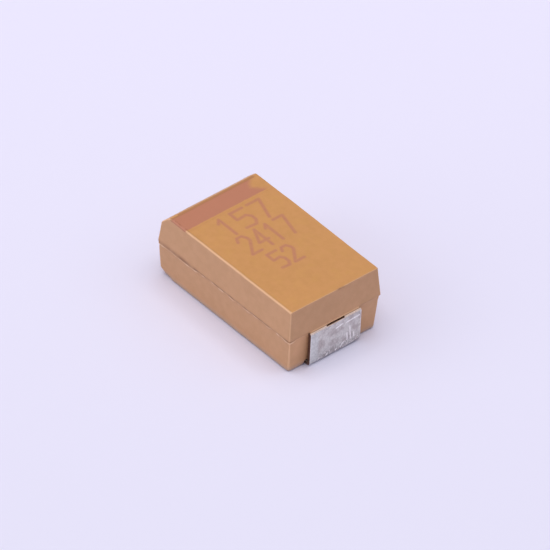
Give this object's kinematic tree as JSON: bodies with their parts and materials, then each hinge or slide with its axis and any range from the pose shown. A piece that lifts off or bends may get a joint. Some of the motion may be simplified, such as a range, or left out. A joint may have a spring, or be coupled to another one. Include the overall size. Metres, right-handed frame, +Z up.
{
  "type": "moulded tantalum chip capacitor",
  "caption": "Moulded surface-mount tantalum capacitor with two folded terminals, a polarity band and bevel at the anode end, and the coated pellet inside.",
  "frame": {"origin": "on the board plane, under the middle of the part's box", "axes": "+X runs from the anode end (polarity band and bevel) to the cathode end, +Y across the case, +Z up from the board"},
  "size_m": [0.0074, 0.0042, 0.0027],
  "materials": {
    "moulded_epoxy": "matte moulded epoxy, golden tan",
    "band_ink": "matte red-brown print",
    "tinned_strip": "matte tin plating with fine scratches",
    "tantalum_metal": "drawn tantalum wire, grey",
    "fluoropolymer": "white, waxy",
    "sintered_tantalum": "porous sintered metal, dark grey",
    "manganese_dioxide": "dull black oxide",
    "graphite": "dark grey, faint sheen",
    "silver_paint": "satin silver paint",
    "silver_epoxy": "grainy silver-filled epoxy"
  },
  "bodies": {
    "root": {"moulded_case": "moulded_epoxy", "polarity_band": "band_ink", "anode_lead": "tinned_strip", "cathode_lead": "tinned_strip", "anode_wire": "tantalum_metal", "insulating_washer": "fluoropolymer", "tantalum_pellet": "sintered_tantalum", "manganese_dioxide_coat": "manganese_dioxide", "graphite_coat": "graphite", "silver_coat": "silver_paint", "silver_adhesive": "silver_epoxy"}
  },
  "joints": []
}
